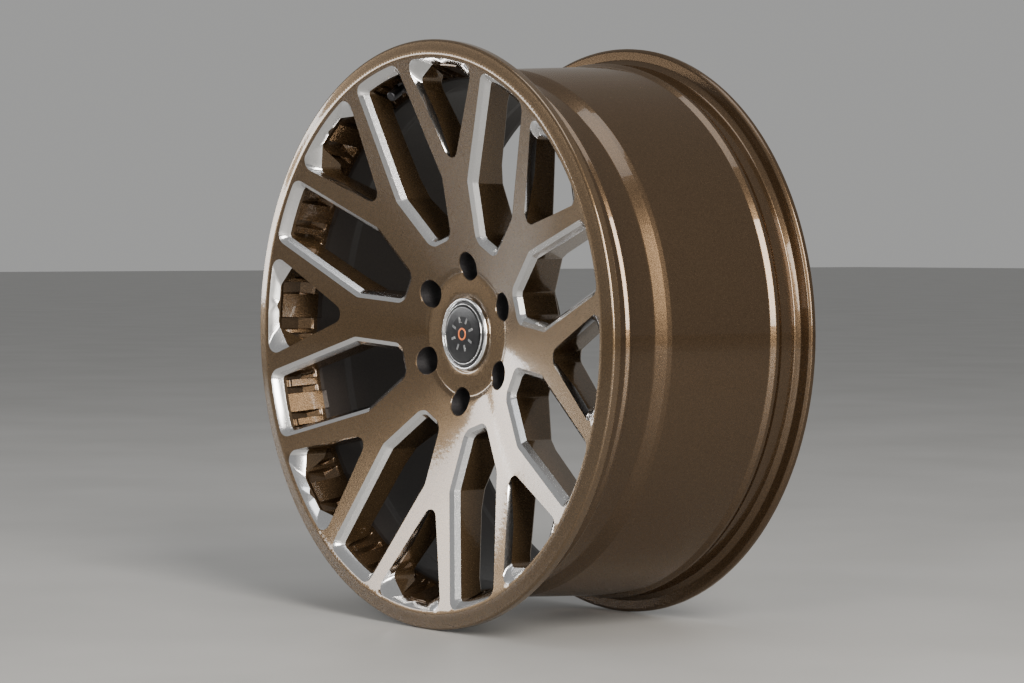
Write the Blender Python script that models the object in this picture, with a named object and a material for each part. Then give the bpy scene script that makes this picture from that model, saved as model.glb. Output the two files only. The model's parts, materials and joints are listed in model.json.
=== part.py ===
"""Eight-spoke two-piece forged wheel, 22 x 9.5J, six lugs on a 139.7 mm circle.

A full-face forged disc (hub, eight Y-shaped spokes and the outboard flange) is joined to a
spun barrel.  Steel seat inserts sit in the lug sockets, a push-in centre cap closes the hub,
and a clamp-in tyre valve passes through the wall of the drop centre.

Frame: the origin is on the wheel's axis, halfway between its two flanges.  The face looks
along -Y, the car side is +Y and +Z is up.
"""
import math

import bmesh
import bpy
from mathutils import Matrix, Vector

MM = 0.001

# Rim, in millimetres.  Depths are measured inboard from the outermost plane of the face.
RIM_RADIUS = 299.1
RIM_WIDTH = 266.7
BEAD_RADIUS = 281.8
FLANGE_THICKNESS = 14.0
WELL_RADIUS = 265.5
WALL_SEGMENTS = 64
FIT_GAP = 0.3

# Pattern of the face: the spokes and the lugs share one starting angle.
SPOKES = 8
FIRST_SPOKE_ANGLE = 84.54
SPOKE_STEP = 360.0 / SPOKES
LUGS = 6
LUG_CIRCLE_RADIUS = 139.7 / 2
LUG_STEP = 360.0 / LUGS

# Windows of the face: across (along the circumference) and out (away from the axis).
WINDOW_OUTER_RADIUS = 280.0
WINDOW_BEVEL_WIDTH = 8.0
WINDOW_BEVEL_DEPTH = 9.0
CUT_MARGIN = 30.0
MOUTH_SHARE = 0.2
TRIANGLE_SURFACE = (((0.0, 168.5), 11.0, 5), ((56.2, 274.3), 10.0, 4), ((24.0, 279.3), 4.0, 2))
TRIANGLE_THROUGH = (((0.0, 171.0), 10.0, 5), ((45.0, 257.0), 6.0, 4), ((20.0, 274.5), 4.0, 2))

# Hub.
CAP_BORE_RADIUS = 34.5
CENTRE_BORE_RADIUS = 38.9
CAP_BORE_DEPTH = 78.0
HUB_FACE_DEPTH = 57.5
HUB_BACK_DEPTH = 112.6
LUG_SOCKET_RADIUS = 14.35
LUG_SOCKET_FLOOR = 100.0
LUG_STUD_RADIUS = 8.0
SEAT_HEIGHT = 9.0

# Ribs inside the front of the barrel, as half-widths along the circumference.
RIB_CONE_START_RADIUS = 275.0
RIB_CONE_START_DEPTH = 8.0
RIB_CONE_SLOPE = 0.32
POCKET_FLOOR_RADIUS = 274.6
POCKET_FLOOR_END = 36.5
POCKET_END = 47.5
LONG_WINDOW_POCKETS = ((10.5, 17.5), (25.5, 34.0))
TRIANGLE_POCKETS = ((13.0, 25.5), (30.0, 35.5), (44.0, 52.0))
POCKET_MEASURE_RADIUS = 268.0

# Tyre valve, measured along its own axis from the seat on the tyre side of the wall.
VALVE_ANGLE = FIRST_SPOKE_ANGLE + SPOKE_STEP / 2
VALVE_WALL_DEPTH = 45.5
VALVE_WALL_RADIUS = 273.0
VALVE_LEAN = math.radians(31.0)
VALVE_SEAT_DEPTH = 0.8
VALVE_WALL_THICKNESS = 5.2
VALVE_HOLE_RADIUS = 5.75
VALVE_TIP = 30.0

BRONZE = (0.105, 0.062, 0.033)
DARK_BRONZE = (0.060, 0.038, 0.022)
STEEL = (0.42, 0.42, 0.43)
SILVER = (0.75, 0.75, 0.76)
BLACK = (0.012, 0.012, 0.013)
RUBBER = (0.020, 0.020, 0.020)
BRASS = (0.55, 0.38, 0.14)


def clear_scene():
    for item in list(bpy.data.objects):
        bpy.data.objects.remove(item, do_unlink=True)


def make_material(name, colour, roughness, metallic):
    material = bpy.data.materials.new(name)
    material.use_nodes = True
    shader = material.node_tree.nodes["Principled BSDF"]
    shader.inputs["Base Color"].default_value = (*colour, 1.0)
    shader.inputs["Roughness"].default_value = roughness
    shader.inputs["Metallic"].default_value = metallic
    return material


def new_object(name, shape, material=None):
    """Turn a bmesh into an object with outward normals and smooth round faces."""
    bmesh.ops.recalc_face_normals(shape, faces=shape.faces)
    mesh = bpy.data.meshes.new(name)
    shape.to_mesh(mesh)
    shape.free()
    mesh.shade_smooth()
    mesh.set_sharp_from_angle(angle=math.radians(35))
    if material:
        mesh.materials.append(material)
    item = bpy.data.objects.new(name, mesh)
    bpy.context.collection.objects.link(item)
    return item


def wheel_point(radius, depth, angle):
    """World point at a radius (mm), a depth behind the face (mm) and an angle (radians)."""
    y = depth - RIM_WIDTH / 2
    return Vector((radius * math.cos(angle), y, radius * math.sin(angle))) * MM


def add_rings(shape, rings, closed):
    """Join rings of equal length with quads; cap both ends, or close the loop of rings."""
    rows = [[shape.verts.new(point) for point in ring] for ring in rings]
    count = len(rings[0])
    pairs = list(zip(rows, rows[1:]))
    if closed:
        pairs.append((rows[-1], rows[0]))
    else:
        shape.faces.new(rows[0])
        shape.faces.new(rows[-1])
    for first, second in pairs:
        for i in range(count):
            j = (i + 1) % count
            shape.faces.new((first[i], first[j], second[j], second[i]))


def turned_ring(name, profile, material=None, segments=WALL_SEGMENTS):
    """Turn a closed (depth, radius) outline about the wheel's axis."""
    shape = bmesh.new()
    angles = [2 * math.pi * i / segments for i in range(segments)]
    rings = [[wheel_point(radius, depth, a) for depth, radius in profile] for a in angles]
    add_rings(shape, rings, closed=True)
    return new_object(name, shape, material)


def turned_disc(shape, profile, segments, place):
    """Turn an open (height, radius) outline about a local Z axis and cap both ends."""
    angles = [2 * math.pi * i / segments for i in range(segments)]
    rings = []
    for height, radius in profile:
        rings.append([place @ (Vector((radius * math.cos(a), radius * math.sin(a), height)) * MM)
                      for a in angles])
    add_rings(shape, rings, closed=False)


def turned_tube(shape, profile, segments, place):
    """Turn a closed (height, radius) outline about a local Z axis."""
    rings = []
    for i in range(segments):
        a = 2 * math.pi * i / segments
        rings.append([place @ (Vector((radius * math.cos(a), radius * math.sin(a), height)) * MM)
                      for height, radius in profile])
    add_rings(shape, rings, closed=True)


def face_depth(radius):
    """Depth of the face's shallow dish below its outermost ring."""
    points = ((0.0, 57.5), (65.0, 57.5), (70.0, 54.0), (95.0, 47.5), (180.0, 25.5),
              (264.0, 5.0), (284.0, 0.0), (400.0, -29.0))
    for (r0, d0), (r1, d1) in zip(points, points[1:]):
        if radius <= r1:
            return d0 + (d1 - d0) * (radius - r0) / (r1 - r0)
    return points[-1][1]


def cone_radius(depth):
    """Radius of the conical tops of the ribs behind the windows."""
    return RIB_CONE_START_RADIUS - RIB_CONE_SLOPE * (depth - RIB_CONE_START_DEPTH)


def corner_arc(before, corner, after, radius, count):
    """Points of a rounded corner between two straight edges."""
    to_before = (before - corner).normalized()
    to_after = (after - corner).normalized()
    half = to_before.angle(to_after) / 2
    centre = corner + (to_before + to_after).normalized() * (radius / math.sin(half))
    start = corner + to_before * (radius / math.tan(half)) - centre
    end = corner + to_after * (radius / math.tan(half)) - centre
    turn = start.angle_signed(end)
    points = []
    for i in range(count):
        part = -turn * i / (count - 1)
        cos_part = math.cos(part)
        sin_part = math.sin(part)
        points.append(centre + Vector((start.x * cos_part - start.y * sin_part,
                                       start.x * sin_part + start.y * cos_part)))
    return points


def rounded_outline(corners):
    """Closed outline through corners given as (point, radius, count)."""
    loop = [(Vector(point), radius, count) for point, radius, count in corners]
    outline = []
    for i, (point, radius, count) in enumerate(loop):
        before = loop[i - 1][0]
        after = loop[(i + 1) % len(loop)][0]
        outline += corner_arc(before, point, after, radius, count)
    return outline


def mirrored(corners):
    """The same corners on the left of the window's centreline, in the opposite order."""
    return tuple(((-x, y), radius, count) for (x, y), radius, count in reversed(corners))


def rim_side(across, inset):
    """Point on the window's outer arc at a distance across from its centreline."""
    radius = WINDOW_OUTER_RADIUS - inset
    return (across, math.sqrt(radius * radius - across * across))


def long_window_outline(inset):
    """Window between two spokes; inset moves its whole edge inwards."""
    right = (
        ((17.5 - 0.72 * inset, 97.0 + inset), 10.0 - 0.6 * inset, 3),
        ((41.3 - inset, 154.6 + 0.2 * inset), 12.0 + 0.6 * inset, 3),
        (rim_side(37.3 - inset, inset), 12.0 - 0.6 * inset, 4),
        (rim_side(13.0, inset - 0.4), 4.0, 2),
    )
    return rounded_outline(right + mirrored(right))


def triangle_outline(corners):
    """Window inside a spoke's fork: a rounded tip and two mirrored outer corners a side."""
    return rounded_outline(corners + mirrored(corners[1:]))


def window_ring(outline, angle, depth_of):
    """Place a window outline at an angle around the axis, at a depth for each radius."""
    ring = []
    for point in outline:
        radius = point.length
        turn = angle - math.atan2(point.x, point.y)
        ring.append(wheel_point(radius, depth_of(radius), turn))
    return ring


def window_cutter(shape, surface, through, angle):
    """Cutter for one window: a bevel from the surface outline down to the through outline."""
    mouth = [s + MOUTH_SHARE * (s - t) for s, t in zip(surface, through)]
    rise = MOUTH_SHARE * WINDOW_BEVEL_DEPTH
    add_rings(shape, [
        window_ring(mouth, angle, lambda radius: -CUT_MARGIN),
        window_ring(mouth, angle, lambda radius: face_depth(radius) - rise),
        window_ring(through, angle, lambda radius: face_depth(radius) + WINDOW_BEVEL_DEPTH),
        window_ring(through, angle, lambda radius: HUB_BACK_DEPTH + CUT_MARGIN),
    ], closed=False)


def cylinder_cutter(shape, radius, start, end, reach, angle, segments):
    """Cylinder parallel to the wheel's axis at a distance (reach) from it."""
    centre = wheel_point(reach, 0.0, angle)
    place = Matrix.Translation(centre) @ Matrix.Rotation(math.radians(-90), 4, "X")
    turned_disc(shape, ((start, radius), (end, radius)), segments, place)


def subtract(item, name, shape):
    """Cut a shape out of an object with an exact Boolean and keep the result as its mesh."""
    cutter = new_object(name, shape)
    cutter.hide_render = True
    cutter.display_type = "WIRE"
    modifier = item.modifiers.new(name, "BOOLEAN")
    modifier.operation = "DIFFERENCE"
    modifier.solver = "EXACT"
    modifier.object = cutter
    cutter.hide_set(True)


def build_face_disc(material):
    """Hub, spokes and outboard flange as one forging."""
    cone_front = FLANGE_THICKNESS
    cone_back = 40.0
    profile = [(HUB_FACE_DEPTH, CAP_BORE_RADIUS)]
    profile += [(face_depth(r), r) for r in (65.0, 70.0, 95.0, 180.0, 264.0, 284.0)]
    profile += [
        (2.2, 296.0), (5.0, RIM_RADIUS), (11.0, RIM_RADIUS), (13.2, 297.0),
        (cone_front, BEAD_RADIUS + 1.5), (cone_front, cone_radius(cone_front) - FIT_GAP),
        (cone_back, cone_radius(cone_back) - FIT_GAP), (41.5, 250.0), (62.0, 180.0),
        (100.0, 97.0), (104.0, 88.0), (HUB_BACK_DEPTH, 88.0),
        (HUB_BACK_DEPTH, CENTRE_BORE_RADIUS + 1.5), (HUB_BACK_DEPTH - 1.5, CENTRE_BORE_RADIUS),
        (CAP_BORE_DEPTH, CENTRE_BORE_RADIUS), (CAP_BORE_DEPTH, CAP_BORE_RADIUS),
    ]
    disc = turned_ring("face_disc", profile, material)
    subtract(disc, "window_cutters", window_cutters())
    subtract(disc, "lug_cutters", lug_cutters())
    return disc


def window_cutters():
    shape = bmesh.new()
    long_surface = long_window_outline(0.0)
    long_through = long_window_outline(WINDOW_BEVEL_WIDTH)
    triangle_surface = triangle_outline(TRIANGLE_SURFACE)
    triangle_through = triangle_outline(TRIANGLE_THROUGH)
    for i in range(SPOKES):
        spoke = math.radians(FIRST_SPOKE_ANGLE + SPOKE_STEP * i)
        between = spoke + math.radians(SPOKE_STEP / 2)
        window_cutter(shape, triangle_surface, triangle_through, spoke)
        window_cutter(shape, long_surface, long_through, between)
    return shape


def lug_cutters():
    """Lug sockets, stud holes, and scallops in the mounting pad between the lugs."""
    shape = bmesh.new()
    for i in range(LUGS):
        angle = math.radians(FIRST_SPOKE_ANGLE + LUG_STEP * i)
        between = angle + math.radians(LUG_STEP / 2)
        centre = wheel_point(LUG_CIRCLE_RADIUS, 0.0, angle)
        place = Matrix.Translation(centre) @ Matrix.Rotation(math.radians(-90), 4, "X")
        turned_disc(shape, ((HUB_FACE_DEPTH - CUT_MARGIN, LUG_SOCKET_RADIUS),
                            (LUG_SOCKET_FLOOR, LUG_SOCKET_RADIUS),
                            (LUG_SOCKET_FLOOR, LUG_STUD_RADIUS),
                            (HUB_BACK_DEPTH + CUT_MARGIN, LUG_STUD_RADIUS)), 24, place)
        cylinder_cutter(shape, 26.0, 103.0, HUB_BACK_DEPTH + CUT_MARGIN, 102.0, between, 24)
    return shape


def build_lug_seats(material):
    """Steel inserts with a 60-degree cone for the lug bolts, one in each socket."""
    outer = LUG_SOCKET_RADIUS - FIT_GAP
    top = LUG_SOCKET_FLOOR - FIT_GAP - SEAT_HEIGHT
    bottom = LUG_SOCKET_FLOOR - FIT_GAP
    profile = ((top, 12.2), (top, outer - 0.6), (top + 0.6, outer), (bottom, outer),
               (bottom, LUG_STUD_RADIUS - 0.4), (top + 7.2, LUG_STUD_RADIUS - 0.4))
    for i in range(LUGS):
        angle = math.radians(FIRST_SPOKE_ANGLE + LUG_STEP * i)
        place = (Matrix.Translation(wheel_point(LUG_CIRCLE_RADIUS, 0.0, angle))
                 @ Matrix.Rotation(math.radians(-90), 4, "X"))
        shape = bmesh.new()
        turned_tube(shape, profile, 24, place)
        new_object(f"lug_seat_{i + 1}", shape, material)


def build_rim_barrel(material):
    """Spun barrel: bead seats, humps, drop centre, inboard flange and the front ribs."""
    front = FLANGE_THICKNESS + FIT_GAP
    profile = [
        (front, cone_radius(front)), (front, BEAD_RADIUS), (34.0, 280.1), (37.5, 282.4),
        (41.0, 280.5), (50.0, 267.0), (54.0, WELL_RADIUS), (82.0, WELL_RADIUS),
        (94.0, 271.0), (99.0, 272.3), (222.0, 279.0), (229.0, 282.4), (234.5, 280.2),
        (252.5, BEAD_RADIUS), (255.5, 286.0), (256.5, 297.0), (259.0, RIM_RADIUS),
        (263.5, RIM_RADIUS), (RIM_WIDTH, 296.5), (RIM_WIDTH, 289.0), (263.5, 284.5),
        (258.0, 277.5), (250.0, 275.6), (229.0, 274.8), (222.0, 273.2), (99.0, 266.6),
        (84.0, 260.6), (56.0, 260.6), (48.0, cone_radius(48.0)),
    ]
    barrel = turned_ring("rim_barrel", profile, material)
    subtract(barrel, "pocket_cutters", pocket_cutters())
    subtract(barrel, "valve_cutters", valve_cutters())
    return barrel


def pocket_cutters():
    """Blind pockets that leave the ribs standing behind every window."""
    shape = bmesh.new()
    for i in range(SPOKES):
        spoke = FIRST_SPOKE_ANGLE + SPOKE_STEP * i
        for centre, pockets in ((spoke, TRIANGLE_POCKETS),
                                (spoke + SPOKE_STEP / 2, LONG_WINDOW_POCKETS)):
            for near, far in pockets:
                for side in (-1, 1):
                    pocket_cutter(shape, math.radians(centre), side * near, side * far)
    return shape


def pocket_cutter(shape, centre, near, far):
    """Wedge between two ribs, open towards the face and towards the axis."""
    front = FLANGE_THICKNESS - 2.0
    open_radius = 255.0
    outline = ((front, POCKET_FLOOR_RADIUS), (POCKET_FLOOR_END, POCKET_FLOOR_RADIUS),
               (POCKET_END, cone_radius(POCKET_END) - 1.0), (POCKET_END, open_radius),
               (front, open_radius))
    rings = []
    for offset in (near, far):
        angle = centre + offset / POCKET_MEASURE_RADIUS
        rings.append([wheel_point(radius, depth, angle) for depth, radius in outline])
    add_rings(shape, rings, closed=False)


def valve_frame():
    """Matrix whose local Z runs along the valve, from the tyre side out towards the face."""
    angle = math.radians(VALVE_ANGLE)
    outward = Vector((math.cos(angle), 0.0, math.sin(angle)))
    axis = Vector((0.0, -math.cos(VALVE_LEAN), 0.0)) - outward * math.sin(VALVE_LEAN)
    side = axis.cross(outward).normalized()
    third = axis.cross(side)
    place = Matrix((side, third, axis)).transposed().to_4x4()
    seat = wheel_point(VALVE_WALL_RADIUS, VALVE_WALL_DEPTH, angle) + axis * (VALVE_SEAT_DEPTH * MM)
    place.translation = seat
    return place


def valve_cutters():
    """Spot faces on both sides of the wall and the valve hole between them."""
    shape = bmesh.new()
    turned_disc(shape, ((-CUT_MARGIN, 10.5), (0.0, 10.5), (0.0, VALVE_HOLE_RADIUS),
                        (VALVE_WALL_THICKNESS, VALVE_HOLE_RADIUS), (VALVE_WALL_THICKNESS, 9.4),
                        (CUT_MARGIN, 9.4)), 32, valve_frame())
    return shape


def valve_piece(name, profile, material, closed, segments=20):
    """One turned piece of the valve; its origin is on the valve's axis."""
    shape = bmesh.new()
    place = Matrix.Identity(4)
    if closed:
        turned_tube(shape, profile, segments, place)
    else:
        turned_disc(shape, profile, segments, place)
    piece = new_object(name, shape, material)
    piece.matrix_world = valve_frame()
    return piece


def build_valve(metal, steel, rubber, brass):
    """Clamp-in tyre valve: stem, grommet, washer, nut, core, cap and the cap's seal."""
    valve_piece("valve_stem", ((-6.5, 1.5), (-6.5, 7.2), (-5.7, 8.0), (-3.6, 8.0), (-3.6, 3.7),
                               (VALVE_TIP - 0.6, 3.7), (VALVE_TIP, 3.2), (VALVE_TIP, 2.7),
                               (14.0, 2.7), (13.0, 1.5)), metal, True, 24)
    valve_piece("valve_grommet", ((-3.3, 4.0), (-3.3, 8.6), (-0.3, 8.6), (-0.3, 5.4),
                                  (2.4, 5.4), (2.9, 4.0)), rubber, True, 24)
    washer = VALVE_WALL_THICKNESS + FIT_GAP
    valve_piece("valve_washer", ((washer, 4.0), (washer, 7.6), (washer + 1.2, 7.6),
                                 (washer + 1.2, 4.0)), steel, True, 24)
    nut = washer + 1.2 + FIT_GAP
    build_valve_nut(metal, nut, nut + 5.6)
    build_valve_core(steel, brass)
    build_valve_cap(metal, rubber)


def build_valve_nut(material, bottom, top):
    """Hexagonal nut, 12 mm across its flats, with a round hole."""
    segments = 24
    bore = 4.0
    half_across_flats = 6.0
    shape = bmesh.new()
    rings = []
    for i in range(segments):
        a = 2 * math.pi * i / segments
        from_flat = (a % math.radians(60)) - math.radians(30)
        out = half_across_flats / math.cos(from_flat)
        direction = Vector((math.cos(a), math.sin(a), 0.0))
        section = ((bottom, bore), (bottom, out), (top, out), (top, bore))
        rings.append([(direction * radius + Vector((0.0, 0.0, height))) * MM
                      for height, radius in section])
    add_rings(shape, rings, closed=True)
    nut = new_object("valve_nut", shape, material)
    nut.matrix_world = valve_frame()


def build_valve_core(steel, brass):
    """Screw-in core: a brass barrel, its sprung centre pin and the spring."""
    valve_piece("valve_core_body", ((14.6, 1.7), (14.6, 2.1), (16.5, 2.4), (28.4, 2.4),
                                    (28.4, 1.9), (20.0, 1.9), (20.0, 1.0), (17.5, 1.0)),
                brass, True, 16)
    valve_piece("valve_core_pin", ((13.4, 0.5), (13.4, 1.25), (14.0, 1.25), (14.0, 0.5),
                                   (28.0, 0.5), (28.0, 0.95), (29.2, 0.95), (29.4, 0.6)),
                brass, False, 12)
    build_valve_spring(steel)


def build_valve_spring(material):
    """Coil spring around the core's pin, swept along a helix of four turns."""
    turns = 4
    steps = 8
    start = 20.5
    end = 25.6
    coil_radius = 1.35
    wire_radius = 0.22
    sides = 4
    shape = bmesh.new()
    rings = []
    for i in range(turns * steps + 1):
        a = 2 * math.pi * i / steps
        height = start + (end - start) * i / (turns * steps)
        out = Vector((math.cos(a), math.sin(a), 0.0))
        centre = out * coil_radius + Vector((0.0, 0.0, height))
        ring = []
        for k in range(sides):
            b = 2 * math.pi * k / sides
            ring.append((centre + (out * math.cos(b) + Vector((0, 0, 1)) * math.sin(b))
                         * wire_radius) * MM)
        rings.append(ring)
    add_rings(shape, rings, closed=False)
    spring = new_object("valve_core_spring", shape, material)
    spring.matrix_world = valve_frame()


def build_valve_cap(metal, rubber):
    """Dust cap that screws over the stem's tip, and the sealing disc inside it."""
    inner_end = VALVE_TIP + 1.6
    valve_piece("valve_cap", ((inner_end, 4.0), (20.5, 4.0), (20.5, 4.9), (21.0, 5.3),
                              (inner_end + 1.2, 5.3), (inner_end + 2.0, 4.5)), metal, False, 20)
    valve_piece("valve_cap_seal", ((VALVE_TIP + 0.3, 1.2), (VALVE_TIP + 0.3, 3.6),
                                   (inner_end - FIT_GAP, 3.6), (inner_end - FIT_GAP, 1.2)),
                rubber, True, 16)


def cap_leg_slots():
    """Six slots that part the cap's skirt into spring legs."""
    shape = bmesh.new()
    for i in range(6):
        angle = math.radians(60.0 * i + 30.0)
        rings = []
        for depth in (64.0, 90.0):
            ring = []
            for radius, across in ((27.0, -6.0), (38.0, -6.0), (38.0, 6.0), (27.0, 6.0)):
                turn = angle + math.atan2(across, radius)
                ring.append(wheel_point(math.hypot(radius, across), depth, turn))
            rings.append(ring)
        add_rings(shape, rings, closed=False)
    return shape


def build_centre_cap(plastic, silver, gloss, steel):
    """Push-in cap: body with spring legs, wire ring, trim ring, bezel and domed disc."""
    front = 54.2
    outer = CAP_BORE_RADIUS - FIT_GAP
    body = turned_ring("cap_body", ((57.2, 30.6), (75.5, 30.6), (75.5, 32.0), (74.0, outer),
                                    (71.5, outer), (70.0, 33.4), (front, 33.4), (front, 4.0),
                                    (57.2, 4.0)), plastic, 36)
    subtract(body, "cap_leg_slots", cap_leg_slots())
    turned_ring("cap_trim_ring", ((57.2, 33.8), (54.0, 33.8), (52.9, 34.6), (52.8, 36.4),
                                  (54.0, 37.4), (57.2, 37.4)), silver, 40)
    turned_ring("cap_emblem_bezel", ((front - 0.3, 30.0), (52.4, 30.0), (52.0, 30.5),
                                     (52.4, 31.2), (front - 0.3, 31.2)), silver, 40)
    build_emblem_disc(gloss, front - 0.3)
    build_retaining_ring(steel)


def build_emblem_disc(material, back):
    """Slightly domed black disc in the middle of the cap."""
    shape = bmesh.new()
    place = (Matrix.Translation(wheel_point(0.0, 0.0, 0.0))
             @ Matrix.Rotation(math.radians(-90), 4, "X"))
    turned_disc(shape, ((51.4, 10.0), (51.6, 20.0), (52.0, 27.0), (52.6, 29.7), (back, 29.7)),
                36, place)
    new_object("cap_emblem_disc", shape, material)


def build_retaining_ring(material):
    """Open wire ring that springs the cap's legs outwards."""
    ring_radius = 29.4
    wire_radius = 0.85
    steps = 30
    gap = math.radians(12)
    sides = 6
    shape = bmesh.new()
    rings = []
    for i in range(steps + 1):
        a = gap / 2 + (2 * math.pi - gap) * i / steps
        ring = []
        for k in range(sides):
            b = 2 * math.pi * k / sides
            ring.append(wheel_point(ring_radius + wire_radius * math.cos(b),
                                    72.5 + wire_radius * math.sin(b), a))
        rings.append(ring)
    add_rings(shape, rings, closed=False)
    new_object("cap_retaining_ring", shape, material)


def build_wheel():
    clear_scene()
    bronze = make_material("bronze_paint", BRONZE, 0.25, 0.7)
    barrel_paint = make_material("barrel_paint", DARK_BRONZE, 0.25, 0.7)
    seat_steel = make_material("seat_steel", STEEL, 0.35, 1.0)
    silver = make_material("bright_silver", SILVER, 0.18, 1.0)
    plastic = make_material("cap_plastic", BLACK, 0.45, 0.0)
    gloss = make_material("emblem_gloss", BLACK, 0.12, 0.0)
    spring_steel = make_material("spring_steel", STEEL, 0.30, 1.0)
    valve_metal = make_material("valve_alloy", (0.08, 0.08, 0.085), 0.35, 1.0)
    rubber = make_material("seal_rubber", RUBBER, 0.75, 0.0)
    brass = make_material("core_brass", BRASS, 0.30, 1.0)
    build_face_disc(bronze)
    build_lug_seats(seat_steel)
    build_rim_barrel(barrel_paint)
    build_centre_cap(plastic, silver, gloss, spring_steel)
    build_valve(valve_metal, spring_steel, rubber, brass)


build_wheel()
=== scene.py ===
"""Looks of the forged eight-spoke wheel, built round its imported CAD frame.

The wheel's own lengths in this file are millimetres.  The floor, the lights and the camera are in
metres, as is everything that the frame gives.  A depth is measured inboard from the outermost
plane of the face, a radius from the wheel's axis, and an angle from +X towards +Z.
"""
import json
import math

import bmesh
import bpy
import numpy as np
from mathutils import Matrix, Vector
from mathutils.geometry import delaunay_2d_cdt


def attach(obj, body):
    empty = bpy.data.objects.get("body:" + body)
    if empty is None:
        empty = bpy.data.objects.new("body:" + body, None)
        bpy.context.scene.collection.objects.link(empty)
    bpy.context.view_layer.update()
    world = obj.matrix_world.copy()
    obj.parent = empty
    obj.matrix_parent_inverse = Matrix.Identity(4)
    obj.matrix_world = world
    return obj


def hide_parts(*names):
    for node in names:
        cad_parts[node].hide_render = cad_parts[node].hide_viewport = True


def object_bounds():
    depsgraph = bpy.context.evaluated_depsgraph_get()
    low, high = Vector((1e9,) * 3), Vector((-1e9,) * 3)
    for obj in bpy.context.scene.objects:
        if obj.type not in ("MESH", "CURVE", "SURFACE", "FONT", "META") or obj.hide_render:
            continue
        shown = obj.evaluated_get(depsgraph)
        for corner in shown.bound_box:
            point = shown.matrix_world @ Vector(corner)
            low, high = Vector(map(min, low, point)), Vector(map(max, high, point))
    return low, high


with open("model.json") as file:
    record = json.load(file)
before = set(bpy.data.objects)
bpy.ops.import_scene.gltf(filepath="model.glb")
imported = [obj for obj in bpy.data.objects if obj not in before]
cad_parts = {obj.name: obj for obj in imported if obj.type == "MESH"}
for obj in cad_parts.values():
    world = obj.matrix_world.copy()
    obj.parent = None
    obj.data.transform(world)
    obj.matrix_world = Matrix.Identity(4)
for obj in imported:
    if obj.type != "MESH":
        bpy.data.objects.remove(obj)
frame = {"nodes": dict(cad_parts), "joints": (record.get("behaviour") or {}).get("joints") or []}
cad_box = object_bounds()

MM = 0.001
FRONT_Y = cad_box[0].y
FLOOR_Z = cad_box[0].z
RIM_RADIUS = cad_box[1].x / MM
RIM_WIDTH = (cad_box[1].y - cad_box[0].y) / MM
JOINTS = {joint["name"]: joint for joint in frame["joints"]}

# Pattern of the face.
SPOKES = 8
FIRST_SPOKE = math.radians(84.54)
SPOKE_STEP = 2 * math.pi / SPOKES
LUGS = 6
LUG_STEP = 2 * math.pi / LUGS
LUG_CIRCLE = 139.7 / 2
FIT_GAP = 0.3

# Section of the disc: (radius, depth) along its face and along its back.
FACE_LINE = ((0, 57.5), (38.4, 57.5), (40, 56.7), (64.4, 56.7), (68.4, 54.6), (95, 47.5),
             (180, 25.5), (264, 5), (284, 0), (296.4, 2.1))
RIM_EDGE_ROUND = 2.7
LIP_START = RIM_RADIUS - RIM_EDGE_ROUND
LIP_BACK = RIM_RADIUS - 2.1
FLANGE_BACK = 10.6
FLANGE_THICKNESS = 14.0
BACK_LINE = ((70, 103.5), (88, 103), (97, 100), (180, 62), (250, 41.5), (264.46, 40),
             (272.78, 14), (283.3, 14), (297, 13.2), (299.2, 11))
PAD_DEPTH = 112.6
PAD_RADIUS = 88.0
SCALLOP_REACH = 102.0
SCALLOP_RADIUS = 26.0
CAP_BORE = 34.5
CAP_BORE_END = 78.0
CENTRE_BORE = 38.9
LUG_SOCKET = 14.35
LUG_SOCKET_END = 100.0
LUG_STUD = 8.0

# Windows: the milled bevel's plan width and depth, and its middle crease as shares of them.
OUTER_ARC = 280.0
BEVEL_WIDTH = 8.0
BEVEL_DEPTH = 8.5
CREASE_ACROSS = 0.55
CREASE_DOWN = 0.36

# Circles of mesh points that hold the turned creases of the disc, as radii, and how many points
# its round loops have.
HUB_CREASES = (38, 38.8, 39.6, 40.6, 63, 63.7, 64.4, 65.1, 65.8, 67, 67.7, 68.4, 69.1, 69.8)
RIM_CREASES = (282.4, 283.2, 284, 284.8, 285.6, 289, 292.5)
BACK_CREASES = (264.46, 268.5, 272.78, 283.3, 290)
RIM_POINTS = 360
BORE_POINTS = 96
PAD_POINTS = 240

# Ribs inside the barrel's front.  Their tops lie on a cone: radius and depth of one point, and
# slope.  Pockets are given by how far their two edges are from the middle of a window.
RIB_CONE = (275.0, 8.0, 0.32)
WELL_INSIDE = 260.6
RIBS_END = (48.0, 56.0)
BLOCKS_END = (57.0, 57.8)
POCKET_FLOOR = 274.6
POCKET_FLOOR_END = 36.5
POCKET_END = 47.5
LONG_POCKETS = ((10.5, 17.5), (25.5, 34.0))
TRIANGLE_POCKETS = ((13.0, 25.5), (30.0, 35.5), (44.0, 52.0))
POCKET_EDGE = 1.2
RIB_MEASURE_RADIUS = 268.0
NOTCH_DEPTH = 19.2
NOTCH_CUT = 4.0
# Depths between which the barrel's inside gets the darker paint: painted shade, not a second coat.
INSIDE_SHADE_DEPTHS = (52, 262)


def place_on_wheel(radius, depth, angle):
    """World positions in metres for arrays of radius, depth and angle."""
    radius, depth, angle = np.broadcast_arrays(radius, depth, angle)
    x = radius * np.cos(angle) * MM
    y = FRONT_Y + depth * MM
    z = radius * np.sin(angle) * MM
    return np.stack([x, y, z], axis=-1)


def line_at(value, points, blend):
    """Height of a line through points, with its corners rounded over a distance of blend."""
    xs = [p[0] for p in points]
    ys = [p[1] for p in points]
    offsets = np.linspace(-blend, blend, 9)
    return np.mean([np.interp(value + o, xs, ys) for o in offsets], axis=0)


def face_depth(radius):
    return line_at(radius, FACE_LINE, 1.2)


def back_depth(radius):
    return line_at(radius, BACK_LINE, 0.8)


def pad_depth(radius):
    return np.full(len(radius), PAD_DEPTH)


def add_object(name, data):
    """New object in the scene."""
    item = bpy.data.objects.new(name, data)
    bpy.context.scene.collection.objects.link(item)
    return item


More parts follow.
